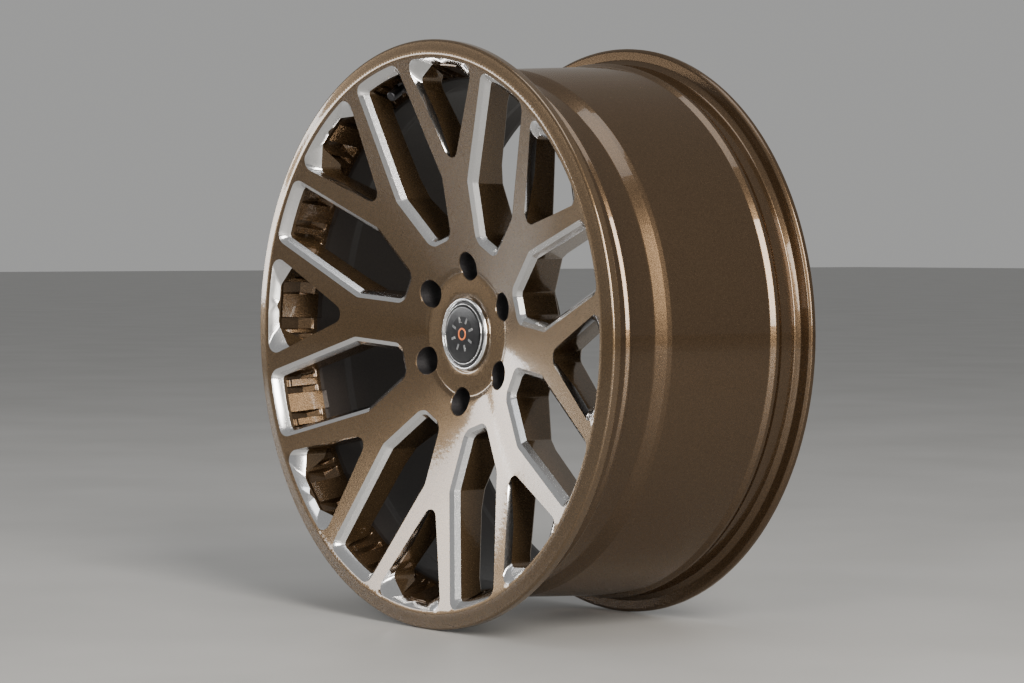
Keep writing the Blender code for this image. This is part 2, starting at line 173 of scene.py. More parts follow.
def new_piece(name, points, faces, materials, sharp_degrees, kinds=None):
    """Piece from world points and faces; kinds are the faces' material numbers."""
    mesh = bpy.data.meshes.new(name)
    mesh.from_pydata(points, [], faces)
    if kinds:
        mesh.polygons.foreach_set("material_index", kinds)
    shape = bmesh.new()
    shape.from_mesh(mesh)
    bmesh.ops.recalc_face_normals(shape, faces=shape.faces)
    shape.to_mesh(mesh)
    shape.free()
    mesh.shade_smooth()
    mesh.set_sharp_from_angle(angle=math.radians(sharp_degrees))
    for material in materials:
        mesh.materials.append(material)
    return add_object(name, mesh)


# ---------------------------------------------------------------- window outlines

def cross_lines(first, second):
    """Crossing point of two edges, each ("line", normal, distance) or ("arc", radius)."""
    if first[0] == "line" and second[0] == "line":
        rows = np.array([first[1], second[1]])
        return np.linalg.solve(rows, np.array([first[2], second[2]]))
    line, arc = (first, second) if first[0] == "line" else (second, first)
    normal = np.array(line[1])
    along = np.array([-normal[1], normal[0]])
    reach = math.sqrt(arc[1] ** 2 - line[2] ** 2)
    ends = (normal * line[2] + along * reach, normal * line[2] - along * reach)
    return max(ends, key=lambda p: p[1])


def moved_in(edge, inset):
    if edge[0] == "arc":
        return ("arc", edge[1] - inset)
    return ("line", edge[1], edge[2] - inset)


def edge_normal(edge, point):
    if edge[0] == "arc":
        return point / np.hypot(*point)
    return np.array(edge[1])


def turned_between(first, second, count):
    """Unit vectors that turn from one normal to the next, both ends included."""
    start = math.atan2(first[1], first[0])
    sweep = (math.atan2(second[1], second[0]) - start + math.pi) % (2 * math.pi) - math.pi
    angles = start + sweep * np.linspace(0, 1, count)
    return np.stack([np.cos(angles), np.sin(angles)], axis=1)


def window_outline(edges, insets, radius, edge_counts, corner_count=9):
    """Closed outline inside the edges, each moved in by its inset, with round corners.

    Two outlines with the same counts match point for point, so that they can be lofted.
    """
    cores = [moved_in(e, i + radius) for e, i in zip(edges, insets)]
    count = len(cores)
    corners = [cross_lines(cores[i - 1], cores[i]) for i in range(count)]
    points = []
    for i in range(count):
        start = corners[i]
        end = corners[(i + 1) % count]
        before = edge_normal(cores[i - 1], start)
        after = edge_normal(cores[i], start)
        points += [start + radius * n for n in turned_between(before, after, corner_count)]
        for part in np.linspace(0, 1, edge_counts[i] + 2)[1:-1]:
            core = start + (end - start) * part
            if cores[i][0] == "arc":
                core = core / np.hypot(*core) * cores[i][1]
            points.append(core + radius * edge_normal(cores[i], core))
    return np.array(points)


def line_through(start, end):
    """Edge through two points, with its normal on the right of the way from start to end."""
    along = np.array(end, float) - np.array(start, float)
    along /= np.hypot(*along)
    normal = np.array([along[1], -along[0]])
    return ("line", normal, float(normal @ np.array(start, float)))


LONG_EDGES = (
    line_through((-12, 97), (12, 97)),
    line_through((12.1, 97), (19.6, 102)),
    line_through((18.9, 100.4), (40.7, 153.1)),
    line_through((41.3, 154.6), (37.6, 266.0)),
    ("arc", OUTER_ARC),
    line_through((-37.6, 266.0), (-41.3, 154.6)),
    line_through((-40.7, 153.1), (-18.9, 100.4)),
    line_through((-19.6, 102), (-12.1, 97)),
)
LONG_COUNTS = (8, 2, 20, 44, 24, 44, 20, 2)
TRIANGLE_SIDE = line_through((0, 168.5), (47.5, 258.0))
TRIANGLE_WEB = line_through((45.0, 257.0), (20.0, 274.9))


def mirrored(edge):
    """The edge on the other side of the window's middle."""
    return ("line", np.array([-edge[1][0], edge[1][1]]), edge[2])


def triangle_edges(web_distance):
    web = ("line", TRIANGLE_WEB[1], web_distance)
    return (TRIANGLE_SIDE, web, ("arc", OUTER_ARC), mirrored(web), mirrored(TRIANGLE_SIDE))


TRIANGLE_COUNTS = (40, 10, 26, 10, 40)


def long_outline(inset, radius):
    return window_outline(LONG_EDGES, [inset] * len(LONG_EDGES), radius, LONG_COUNTS)


def triangle_surface_outline():
    """The milled outline: its outer corners are whole, so the web edges have no length."""
    radius = 10.5
    side = moved_in(TRIANGLE_SIDE, radius)
    corner = cross_lines(side, ("arc", OUTER_ARC - radius))
    touching = float(np.array(TRIANGLE_WEB[1]) @ corner) + radius
    return window_outline(triangle_edges(touching), [0] * 5, radius, TRIANGLE_COUNTS)


def triangle_through_outline(extra):
    """The opening itself, with webs left across its outer corners."""
    insets = (1.3 + extra, extra, 5.4 + extra, extra, 1.3 + extra)
    radius = 7.5 - extra
    return window_outline(triangle_edges(TRIANGLE_WEB[2]), insets, radius, TRIANGLE_COUNTS)


def at_angle(outline, angle):
    """Turn a window outline, given as (across, out), to its angle; returns plan points x, z."""
    radius = np.hypot(outline[:, 0], outline[:, 1])
    turn = angle - np.arctan2(outline[:, 0], outline[:, 1])
    return np.stack([radius * np.cos(turn), radius * np.sin(turn)], axis=1)


def circle_plan(radius, count, centre=(0.0, 0.0)):
    angles = 2 * np.pi * np.arange(count) / count
    return np.stack([centre[0] + radius * np.cos(angles), centre[1] + radius * np.sin(angles)], axis=1)


# ---------------------------------------------------------------- disc mesh

class Shell:
    """Gathers vertices and faces of one closed piece; a face's kind is its material's number."""

    def __init__(self):
        self.points = []
        self.faces = []
        self.kinds = []

    def add_points(self, plan, depth):
        first = len(self.points)
        for (x, z), d in zip(plan, np.broadcast_to(depth, len(plan))):
            self.points.append((x * MM, FRONT_Y + d * MM, z * MM))
        return list(range(first, len(self.points)))

    def strip(self, first, second, kind=0):
        """Join two matched loops with quads, or triangles where points coincide."""
        count = len(first)
        for i in range(count):
            j = (i + 1) % count
            self.faces.append(tuple(dict.fromkeys((first[i], first[j], second[j], second[i]))))
            self.kinds.append(kind)

    def sheet(self, outer, holes, extra, depth_of):
        """Fill the plan between an outer loop and holes; returns the loops' vertex numbers."""
        loops = [outer] + holes
        plan = [tuple(p) for loop in loops for p in loop]
        faces = []
        start = 0
        for loop in loops:
            faces.append(list(range(start, start + len(loop))))
            start += len(loop)
        plan += [tuple(p) for p in extra]
        edges = [(f[i], f[(i + 1) % len(f)]) for f in faces for i in range(len(f))]
        made = delaunay_2d_cdt([Vector(p) for p in plan], edges, faces, 0, 1e-5)
        verts, _, triangles, origins, _, inside = made
        spots = np.array([(v.x, v.y) for v in verts])
        numbers = self.add_points(spots, depth_of(np.hypot(spots[:, 0], spots[:, 1])))
        where = {o: numbers[i] for i, group in enumerate(origins) for o in group}
        for triangle, owners in zip(triangles, inside):
            if 0 in owners and not any(o > 0 for o in owners):
                self.faces.append(tuple(numbers[i] for i in triangle))
                self.kinds.append(0)
        return [[where[i] for i in face] for face in faces]

    def build(self, name, materials, sharp_degrees):
        return new_piece(name, self.points, self.faces, materials, sharp_degrees, self.kinds)


def grid_points(spacing, lowest, highest, keep_clear, clearance):
    """Triangular grid of plan points in a ring, about a clearance away from some points."""
    row_step = spacing * math.sqrt(3) / 2
    rows = int(highest / row_step) + 1
    columns = int(highest / spacing) + 1
    points = []
    for row in range(-rows, rows + 1):
        shift = spacing / 2 if row % 2 else 0.0
        for column in range(-columns, columns + 1):
            points.append((column * spacing + shift, row * row_step))
    points = np.array(points)
    radius = np.hypot(points[:, 0], points[:, 1])
    points = points[(radius > lowest) & (radius < highest)]
    taken = set()
    for point in keep_clear:
        i, j = cell_of(point, clearance)
        taken.update((i + a, j + b) for a in (-1, 0, 1) for b in (-1, 0, 1))
    return np.array([p for p in points if cell_of(p, clearance) not in taken])


def cell_of(point, size):
    """Square of a grid of that size in which a plan point lies."""
    return int(point[0] // size), int(point[1] // size)


def circle_rows(radii, spacing):
    """Plan points on several circles, about a spacing apart."""
    return np.concatenate([circle_plan(r, int(2 * math.pi * r / spacing)) for r in radii])


def drop_near(points, loops, clearance):
    """Leave out points closer than clearance to the loops."""
    taken = {}
    for loop in loops:
        for p in loop:
            taken.setdefault(cell_of(p, clearance), []).append(p)
    kept = []
    for p in points:
        i, j = cell_of(p, clearance)
        near = [q for a in (-1, 0, 1) for b in (-1, 0, 1) for q in taken.get((i + a, j + b), [])]
        if all((p[0] - q[0]) ** 2 + (p[1] - q[1]) ** 2 > clearance ** 2 for q in near):
            kept.append(p)
    return np.array(kept)


def pad_outline(count, grow):
    """Mounting pad: a circle with a scallop between each pair of lugs."""
    angles = 2 * np.pi * np.arange(count) / count
    beside = (angles - FIRST_SPOKE) % LUG_STEP - LUG_STEP / 2
    under = SCALLOP_RADIUS ** 2 - (SCALLOP_REACH * np.sin(beside)) ** 2
    scallop = SCALLOP_REACH * np.cos(beside) - np.sqrt(np.maximum(under, 0))
    radius = np.where(under > 0, np.minimum(PAD_RADIUS, scallop), PAD_RADIUS)
    smooth = sum(np.roll(radius, k) for k in range(-3, 4)) / 7 + grow
    return np.stack([smooth * np.cos(angles), smooth * np.sin(angles)], axis=1)


def window_set():
    """Every window as matched outlines: at the surface, through the disc, and at the back."""
    long_surface = long_outline(0.0, 11.0)
    long_through = long_outline(BEVEL_WIDTH, 4.0)
    long_back = long_outline(BEVEL_WIDTH - 1.2, 5.0)
    tri_surface = triangle_surface_outline()
    tri_through = triangle_through_outline(0.0)
    tri_back = triangle_through_outline(-1.0)
    windows = []
    for i in range(SPOKES):
        spoke = FIRST_SPOKE + SPOKE_STEP * i
        for outlines, angle in (((tri_surface, tri_through, tri_back), spoke),
                                ((long_surface, long_through, long_back), spoke + SPOKE_STEP / 2)):
            windows.append([at_angle(o, angle) for o in outlines])
    return windows


def lug_plans(radius, count=40):
    """A circle of one radius round each lug's axis."""
    centres = [FIRST_SPOKE + LUG_STEP * i for i in range(LUGS)]
    return [circle_plan(radius, count, (LUG_CIRCLE * math.cos(a), LUG_CIRCLE * math.sin(a)))
            for a in centres]


def radii_of(plan):
    return np.hypot(plan[:, 0], plan[:, 1])


def make_disc(paint, milled, bare):
    """The forged disc: dished face, milled window edges, deep window walls and stepped back."""
    shell = Shell()
    windows = window_set()
    outer = circle_plan(LIP_START, RIM_POINTS)
    bore = circle_plan(CAP_BORE + 0.7, BORE_POINTS)
    sockets = lug_plans(LUG_SOCKET + 0.6)
    holes = [bore] + sockets + [w[0] for w in windows]
    hub_rows = drop_near(circle_rows(HUB_CREASES, 2.0), sockets, 1.6)
    rows = np.concatenate([hub_rows, circle_rows(RIM_CREASES, 4.6)])
    loops = np.concatenate([outer] + holes)
    grid = grid_points(4.5, CAP_BORE + 3, 281.0, np.concatenate([loops, rows]), 1.7)
    front = shell.sheet(outer, holes, np.concatenate([rows, grid]), face_depth)

    pad = pad_outline(PAD_POINTS, 0.0)
    back_outer = circle_plan(LIP_BACK, RIM_POINTS)
    back_holes = [w[2] for w in windows]
    back_rows = circle_rows(BACK_CREASES, 5.0)
    back_loops = np.concatenate([back_outer, pad] + back_holes)
    back_rows = drop_near(back_rows, [back_loops], 1.6)
    grid = grid_points(9.0, PAD_RADIUS - 8, 263.0, np.concatenate([back_loops, back_rows]), 2.5)
    back = shell.sheet(back_outer, [pad] + back_holes, np.concatenate([back_rows, grid]), back_depth)

    pad_top = pad_outline(PAD_POINTS, -1.0)
    pad_bore = circle_plan(CENTRE_BORE + 1.2, BORE_POINTS)
    studs = lug_plans(LUG_STUD + 0.5)
    pad_loops = np.concatenate([pad_top, pad_bore] + studs)
    grid = grid_points(7.0, CENTRE_BORE + 3, PAD_RADIUS - 3, pad_loops, 2.5)
    grid = grid[radii_of(grid) < PAD_RADIUS - SCALLOP_RADIUS / 2 - 3]
    pad_face = shell.sheet(pad_top, [pad_bore] + studs, grid, pad_depth)

    add_lip(shell, front[0], back[0])
    pad_edge = shell.add_points(pad, PAD_DEPTH - 1.0)
    shell.strip(back[1], pad_edge)
    shell.strip(pad_edge, pad_face[0])
    add_bore(shell, front[1], pad_face[1])
    for i in range(LUGS):
        add_socket(shell, front[2 + i], pad_face[2 + i], i)
    for i, window in enumerate(windows):
        add_window_walls(shell, window, front[2 + LUGS + i], back[2 + i])
    return shell.build("forged_disc", [paint, milled, bare], 20)


def add_lip(shell, front_loop, back_loop):
    """Rounded outer edge of the flange, from the face round to its back."""
    previous = front_loop
    for turn in np.radians((12, 28, 45, 62, 78, 90)):
        radius = RIM_RADIUS - RIM_EDGE_ROUND * (1 - math.sin(turn))
        depth = float(face_depth(LIP_START)) + RIM_EDGE_ROUND * (1 - math.cos(turn))
        ring = shell.add_points(circle_plan(radius, RIM_POINTS), depth)
        shell.strip(previous, ring)
        previous = ring
    for radius, depth in ((RIM_RADIUS, FLANGE_BACK), (RIM_RADIUS - 0.6, FLANGE_BACK + 1.2)):
        ring = shell.add_points(circle_plan(radius, RIM_POINTS), depth)
        shell.strip(previous, ring)
        previous = ring
    shell.strip(previous, back_loop)


def add_bore(shell, front_loop, back_loop):
    """Cap bore at the front, step, and centre bore at the back."""
    previous = front_loop
    for radius, depth in ((CAP_BORE, FACE_LINE[0][1] + 0.7), (CAP_BORE, CAP_BORE_END),
                          (CENTRE_BORE, CAP_BORE_END), (CENTRE_BORE, PAD_DEPTH - 1.2)):
        ring = shell.add_points(circle_plan(radius, BORE_POINTS), depth)
        shell.strip(previous, ring)
        previous = ring
    shell.strip(previous, back_loop)


def add_socket(shell, front_loop, back_loop, index):
    """Lug socket: a small chamfer, bare wall, floor and stud hole."""
    mouth = lug_plans(LUG_SOCKET)[index]
    previous = shell.add_points(mouth, face_depth(radii_of(mouth)) + 0.6)
    shell.strip(front_loop, previous)
    for radius, depth in ((LUG_SOCKET, LUG_SOCKET_END), (LUG_STUD, LUG_SOCKET_END),
                          (LUG_STUD, PAD_DEPTH - 0.5)):
        ring = shell.add_points(lug_plans(radius)[index], depth)
        shell.strip(previous, ring, 2)
        previous = ring
    shell.strip(previous, back_loop)


def add_window_walls(shell, window, front_loop, back_loop):
    """Two milled facets with a crease between them, then the painted wall to the back."""
    surface, through, back_edge = window
    width = np.hypot(*(through - surface).T)
    down = np.minimum(BEVEL_DEPTH, width)
    crease = surface + CREASE_ACROSS * (through - surface)
    crease_ring = shell.add_points(crease, face_depth(radii_of(crease)) + CREASE_DOWN * down)
    bottom = face_depth(radii_of(through)) + down
    through_ring = shell.add_points(through, bottom)
    wall_end = np.maximum(back_depth(radii_of(through)) - 1.5, bottom + 0.5)
    middle_ring = shell.add_points(through, bottom + 0.5 * (wall_end - bottom))
    end_ring = shell.add_points(through, wall_end)
    shell.strip(front_loop, crease_ring, 1)
    shell.strip(crease_ring, through_ring, 1)
    shell.strip(through_ring, middle_ring)
    shell.strip(middle_ring, end_ring)
    shell.strip(end_ring, back_loop)


# ---------------------------------------------------------------- turned pieces

def rounded_path(corners, closed=True, steps=5):
    """Path through corners given as (height, radius, fillet); fillets become arcs."""
    points = [np.array(c[:2], float) for c in corners]
    count = len(points)
    path = []
    for i in range(count):
        fillet = corners[i][2] if len(corners[i]) > 2 else 0.0
        if fillet <= 0 or (not closed and i in (0, count - 1)):
            path.append(points[i])
            continue
        before = points[i - 1] - points[i]
        after = points[(i + 1) % count] - points[i]
        before_length = np.hypot(*before)
        after_length = np.hypot(*after)
        before /= before_length
        after /= after_length
        half = math.acos(max(-1, min(1, float(before @ after)))) / 2
        reach = min(fillet / math.tan(half), 0.48 * before_length, 0.48 * after_length)
        start = points[i] + before * reach
        end = points[i] + after * reach
        for t in np.linspace(0, 1, steps):
            path.append((1 - t) ** 2 * start + 2 * t * (1 - t) * points[i] + t * t * end)
    return np.array(path)


def object_from_grid(name, grid, material, sharp_degrees=30, closed=True):
    """Piece from a grid of world points whose rows go round; columns close, or get end caps."""
    rows, columns = grid.shape[:2]
    points = grid.reshape(-1, 3)
    faces = []
    for r in range(rows):
        s = (r + 1) % rows
        for c in range(columns if closed else columns - 1):
            d = (c + 1) % columns
            faces.append((r * columns + c, r * columns + d, s * columns + d, s * columns + c))
    if not closed:
        faces += end_caps(rows, columns)
    return new_piece(name, [tuple(p) for p in points], faces, [material], sharp_degrees)


def end_caps(rows, columns):
    """Faces that close the first and the last column of a grid."""
    first = tuple(r * columns for r in range(rows))
    last = tuple(r * columns + columns - 1 for r in range(rows))
    return [first, last]


def turned(name, corners, material, place, segments=96, closed=True, sharp_degrees=30):
    """Turned piece from (height, radius, fillet) corners about the local Z axis of place.

    The section closes on itself, or, with closed off, its two ends get flat caps.
    """
    path = rounded_path(corners, closed)
    angles = 2 * np.pi * np.arange(segments) / segments
    local = np.stack([np.outer(np.cos(angles), path[:, 1]), np.outer(np.sin(angles), path[:, 1]),
                      np.broadcast_to(path[:, 0], (segments, len(path)))], axis=-1) * MM
    matrix = np.array(place)
    world = local @ matrix[:3, :3].T + matrix[:3, 3]
    return object_from_grid(name, world, material, sharp_degrees, closed)


def along_axis(radius=0.0, angle=0.0):
    """Frame whose local Z runs inboard, level with the axis, from the face's outermost plane."""
    x, y, z = place_on_wheel(radius, 0.0, angle)
    return Matrix.Translation((x, y, z)) @ Matrix.Rotation(math.radians(-90), 4, "X")


# ---------------------------------------------------------------- barrel

def cone_radius(depth):
    """Inside radius of the ribs' tops."""
    start_radius, start_depth, slope = RIB_CONE
    return start_radius - slope * (depth - start_depth)


def smooth_step(value):
    value = np.clip(value, 0, 1)
    return value * value * (3 - 2 * value)


def barrel_angles():
    """Angles at which the barrel has points, closer together at the edges of the pockets."""
    angles = list(2 * np.pi * np.arange(160) / 160)
    for i in range(SPOKES):
        for centre, pockets in ((FIRST_SPOKE + SPOKE_STEP * i, TRIANGLE_POCKETS),
                                (FIRST_SPOKE + SPOKE_STEP * (i + 0.5), LONG_POCKETS)):
            for edge in (e for pocket in pockets for e in pocket):
                for side in (-1, 1):
                    for shift in (-0.6, -0.2, 0.2, 0.6):
                        angles.append(centre + side * (edge + shift) / RIB_MEASURE_RADIUS)
    angles = np.sort(np.array(angles) % (2 * np.pi))
    keep = np.concatenate([[True], np.diff(angles) > 0.0008])
    return angles[keep]


def between(offset, near, far):
    """How far a distance is between two edges, from 0 to 1, with soft changes at both."""
    rising = smooth_step((offset - near) / POCKET_EDGE + 0.5)
    return rising * smooth_step((far - offset) / POCKET_EDGE + 0.5)


def rib_shares(angles):
    """For each angle: how far it is in a pocket, on a middle block, and on a notched rib."""
    pocket = np.zeros(len(angles))
    block = np.zeros(len(angles))
    notch = np.zeros(len(angles))
    for i in range(SPOKES):
        for half, pockets in ((0.0, TRIANGLE_POCKETS), (0.5, LONG_POCKETS)):
            centre = FIRST_SPOKE + SPOKE_STEP * (i + half)
            offset = np.abs((angles - centre + np.pi) % (2 * np.pi) - np.pi) * RIB_MEASURE_RADIUS
            for near, far in pockets:
                pocket = np.maximum(pocket, between(offset, near, far))
            on_block = smooth_step((pockets[0][0] - offset) / POCKET_EDGE + 0.5)
            block = np.maximum(block, on_block)
            rib = smooth_step((offset - pockets[0][1]) / POCKET_EDGE)
            rib = rib * smooth_step((pockets[1][0] - offset) / POCKET_EDGE)
            notch = np.maximum(notch, rib * (half > 0))
    return pocket, block, notch


def ramp_radius(depth, ends):
    """The ribs' cone up to the first of two depths, then a ramp to the drop centre's inside."""
    start, end = ends
    if depth <= start:
        return cone_radius(depth)
    return np.interp(depth, (start, end), (cone_radius(start), WELL_INSIDE))


def inner_front_radius(depth, pocket, block, notch):
    """Inside radius of the barrel's front at one depth, for every angle."""
    ribs = ramp_radius(depth, RIBS_END)
    base = ribs + (ramp_radius(depth, BLOCKS_END) - ribs) * block
    floor_ends = (POCKET_FLOOR, cone_radius(POCKET_END))
    floor = np.interp(depth, (POCKET_FLOOR_END, POCKET_END), floor_ends)
    sunk = 0.0
    if depth <= POCKET_END:
        sunk = max(0.0, floor - cone_radius(depth))
    groove = NOTCH_CUT * smooth_step(1.6 - abs(depth - NOTCH_DEPTH) / 1.2) * notch
    return base + sunk * pocket + groove


def make_barrel(paint, inside):
    """The spun barrel: tyre side from one rounded path, inside with ribs and pockets."""
    front = FLANGE_THICKNESS + FIT_GAP
    outside = rounded_path((
        (front, 281.8, 0), (33.0, 280.2, 3), (36.8, 282.5, 3), (39.5, 282.3, 3), (49.5, 267.6, 6),
        (53.0, 265.5, 5), (82.0, 265.5, 7), (94.0, 270.6, 7), (99.0, 272.3, 6), (221.0, 279.0, 4),
        (227.0, 282.4, 3), (230.5, 282.4, 3), (235.5, 280.2, 3), (251.8, 281.7, 3),
        (256.2, 286.5, 3), (256.9, 296.5, 2.5), (259.8, RIM_RADIUS, 2.5),
        (264.0, RIM_RADIUS, 2.5), (RIM_WIDTH, 296.0, 1.5), (RIM_WIDTH, 289.0, 1.5),
        (263.0, 284.0, 5), (257.0, 276.6, 6), (250.0, 275.4, 6), (229.0, 274.8, 8),
        (221.0, 273.0, 8), (99.0, 266.4, 8), (86.0, WELL_INSIDE, 8), (61.0, WELL_INSIDE, 0),
    ), closed=False, steps=7)
    depths = np.concatenate([np.linspace(58.6, 56.8, 6), np.arange(56.0, 22.0, -1.3),
                             np.arange(22.0, 15.4, -0.45), [15.0, front]])
    angles = barrel_angles()
    shares = rib_shares(angles)
    columns = [place_on_wheel(r, d, angles) for d, r in outside]
    columns += [place_on_wheel(inner_front_radius(d, *shares), d, angles) for d in depths]
    grid = np.stack(columns, axis=1)
    barrel = object_from_grid("spun_barrel", grid, paint, 24)
    # The second material is the darker inside paint, which is painted shade.
    barrel.data.materials.append(inside)
    paint_inside_shade(barrel.data)
    cut_valve_seat(barrel)
    return barrel


def paint_inside_shade(mesh):
    """Painted shade on the barrel's inside, behind the ribs: faces there get the darker inside material
    in place of the shade that falls there.
    """
    for polygon in mesh.polygons:
        centre = polygon.center
        outward = Vector((centre.x, 0, centre.z)).normalized()
        depth = (centre.y - FRONT_Y) / MM
        if polygon.normal.dot(outward) < -0.5 and INSIDE_SHADE_DEPTHS[0] < depth < INSIDE_SHADE_DEPTHS[1]:
            polygon.material_index = 1


def cut_valve_seat(barrel):
    """Spot faces and the valve hole, cut through the slope in front of the drop centre."""
    cutter = turned("valve_seat_cutter", ((-30, 10.5), (0, 10.5), (0, 5.75), (5.2, 5.75),
                                          (5.2, 9.4), (30, 9.4)),
                    barrel.data.materials[0], valve_frame(), 48, closed=False)
    modifier = barrel.modifiers.new("valve_seat", "BOOLEAN")
    modifier.operation = "DIFFERENCE"
    modifier.solver = "MANIFOLD"
    modifier.object = cutter
    depsgraph = bpy.context.evaluated_depsgraph_get()
    mesh = bpy.data.meshes.new_from_object(barrel.evaluated_get(depsgraph))
    barrel.modifiers.clear()
    barrel.data = mesh
    mesh.set_sharp_from_angle(angle=math.radians(24))
    bpy.data.objects.remove(cutter)


# ---------------------------------------------------------------- small pieces

def valve_frame():
    """Frame on the valve's seat whose local Z runs out along the valve."""
    joint = JOINTS["valve_cap_unscrew"]
    axis = Vector(joint["axis"]).normalized()
    seat = Vector(joint["pos_m"])
    outward = Vector((seat.x, 0, seat.z)).normalized()
    side = axis.cross(outward).normalized()
    place = Matrix((side, axis.cross(side), axis)).transposed().to_4x4()
    place.translation = seat
    return place


def show(piece, body, slot, *nodes):
    """Put a piece on its body and hide the CAD nodes that it stands for; slot is not used."""
    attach(piece, body)
    if nodes:
        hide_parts(*nodes)
    return piece


def repaint(node, material):
    """Give a piece that is shown as its CAD shape a material of its own."""
    materials = frame["nodes"][node].data.materials
    materials.clear()
    materials.append(material)


def make_lug_seats(steel):
    """Steel rings with a cone seat, at the bottom of the lug sockets."""
    outer = LUG_SOCKET - FIT_GAP
    bottom = LUG_SOCKET_END - FIT_GAP
    top = bottom - 9.0
    corners = ((top, 12.2, 0.3), (top, outer, 0.6), (bottom, outer, 0.2), (bottom, 7.6, 0.4),
               (top + 7.2, 7.6, 0.4))
    for i in range(LUGS):
        place = along_axis(LUG_CIRCLE, FIRST_SPOKE + LUG_STEP * i)
        seat = turned(f"lug_cone_seat_{i + 1}", corners, steel, place, 56)
        show(seat, "wheel", "seat_steel", f"lug_seat_{i + 1}")


def make_centre_cap(plastic, silver, gloss, steel, orange):
    """Two bright rings and a gloss disc on the cap's black body, and the wire ring behind."""
    place = along_axis()
    trim = turned("cap_bright_ring", ((57.2, 33.8), (54.2, 33.8, 0.5), (52.9, 34.8, 0.8),
                                      (52.8, 36.2, 0.9), (54.6, 37.4, 1.2), (57.2, 37.4, 0.2)),
                  silver, place, 160)
    show(trim, "centre_cap", "bright_silver", "cap_trim_ring")
    bezel = turned("cap_inner_ring", ((53.9, 30.0), (52.4, 30.0, 0.3), (52.0, 30.6, 0.4),
                                      (52.5, 31.2, 0.3), (53.9, 31.2)), silver, place, 160)
    show(bezel, "centre_cap", "bright_silver", "cap_emblem_bezel")
    disc = turned("cap_gloss_disc", ((51.4, 0.5), (51.42, 6.0, 4), (51.6, 18.0, 10), (52.1, 27.5, 4),
                                     (52.7, 29.6, 0.4), (53.9, 29.7)), gloss, place, 160, closed=False)
    show(disc, "centre_cap", "emblem_gloss", "cap_emblem_disc")
    make_motif(silver, orange)
    ring = retaining_ring(steel)
    show(ring, "centre_cap", "spring_steel", "cap_retaining_ring")
    repaint("cap_body", plastic)


def make_motif(silver, orange):
    """Plain ornament on the cap: eight short bars round a small ring."""
    shape = bmesh.new()
    for i in range(SPOKES):
        middle = Matrix.Translation((0, FRONT_Y + 51.35 * MM, 0))
        turn = Matrix.Rotation(-(FIRST_SPOKE + SPOKE_STEP * (i + 0.5)), 4, "Y")
        out = Matrix.Translation((15.0 * MM, 0, 0))
        size = Matrix.Diagonal((6.5 * MM, 0.5 * MM, 2.6 * MM, 1))
        bmesh.ops.create_cube(shape, size=1.0, matrix=middle @ turn @ out @ size)
    mesh = bpy.data.meshes.new("cap_ornament_bars")
    bmesh.ops.bevel(shape, geom=shape.edges[:], offset=0.2 * MM, segments=2, affect="EDGES")
    shape.to_mesh(mesh)
    shape.free()
    mesh.materials.append(silver)
    bars = add_object("cap_ornament_bars", mesh)
    show(bars, "centre_cap", "bright_silver")
    ring = turned("cap_ornament_ring", ((51.55, 4.6), (51.1, 4.6, 0.2), (51.1, 6.4, 0.2), (51.55, 6.4)),
                  orange, along_axis(), 64)
    show(ring, "centre_cap", "bright_silver")


def retaining_ring(steel):
    """Open wire ring inside the cap's legs."""
    gap = math.radians(12)
    angles = gap / 2 + (2 * math.pi - gap) * np.arange(73) / 72
    rounds = 2 * np.pi * np.arange(12) / 12
    grid = np.stack([place_on_wheel(29.4 + 0.85 * math.cos(b), 72.5 + 0.85 * math.sin(b), angles)
                     for b in rounds], axis=0)
    return object_from_grid("cap_wire_ring", grid, steel, 60, closed=False)


def make_valve(alloy, steel, rubber, brass):
    """Clamp-in valve; its nut, its core and the seal in its cap keep their CAD shapes."""
    place = valve_frame()
    tip = 30.0
    stem_line = ((-6.5, 1.5), (-6.5, 7.4, 0.8), (-5.4, 8.0, 0.5), (-3.6, 8.0, 0.3), (-3.6, 3.7),
                 (tip - 0.6, 3.7, 0.1), (tip, 3.2), (tip, 2.7), (14.0, 2.7), (13.0, 1.5))
    stem = turned("valve_tube", stem_line, alloy, place, 48)
    show(stem, "wheel", "valve_alloy", "valve_stem")
    grommet_line = ((-3.3, 4.0), (-3.3, 8.6, 0.8), (-0.3, 8.6, 0.8), (-0.3, 5.4), (2.4, 5.4, 0.5),
                    (2.9, 4.0))
    grommet = turned("valve_rubber_grommet", grommet_line, rubber, place, 48)
    show(grommet, "wheel", "seal_rubber", "valve_grommet")
    washer = turned("valve_flat_washer", ((5.5, 4.0), (5.5, 7.6, 0.2), (6.7, 7.6, 0.2), (6.7, 4.0)),
                    steel, place, 48)
    show(washer, "wheel", "spring_steel", "valve_washer")
    cap = turned("valve_dust_cap", ((31.6, 0.4), (31.6, 4.0), (20.5, 4.0), (20.5, 5.3, 0.4),
                                    (33.6, 5.3, 1.6), (33.6, 0.4)), alloy, place, 48, closed=False)
    show(cap, "valve_cap_turn", "valve_alloy", "valve_cap")
    cad_shapes = {"valve_nut": alloy, "valve_core_body": brass, "valve_core_pin": brass,
                  "valve_core_spring": steel, "valve_cap_seal": rubber}
    for node, material in cad_shapes.items():
        repaint(node, material)


# ---------------------------------------------------------------- materials

def new_material(name):
    material = bpy.data.materials.new(name)
    material.use_nodes = True
    nodes = material.node_tree.nodes
    return material, nodes, material.node_tree.links, nodes["Principled BSDF"]


def object_noise(nodes, links, scale, detail=2.0):
    coordinates = nodes.new("ShaderNodeTexCoord")
    noise = nodes.new("ShaderNodeTexNoise")
    noise.inputs["Scale"].default_value = scale
    noise.inputs["Detail"].default_value = detail
    links.new(coordinates.outputs["Object"], noise.inputs["Vector"])
    return noise


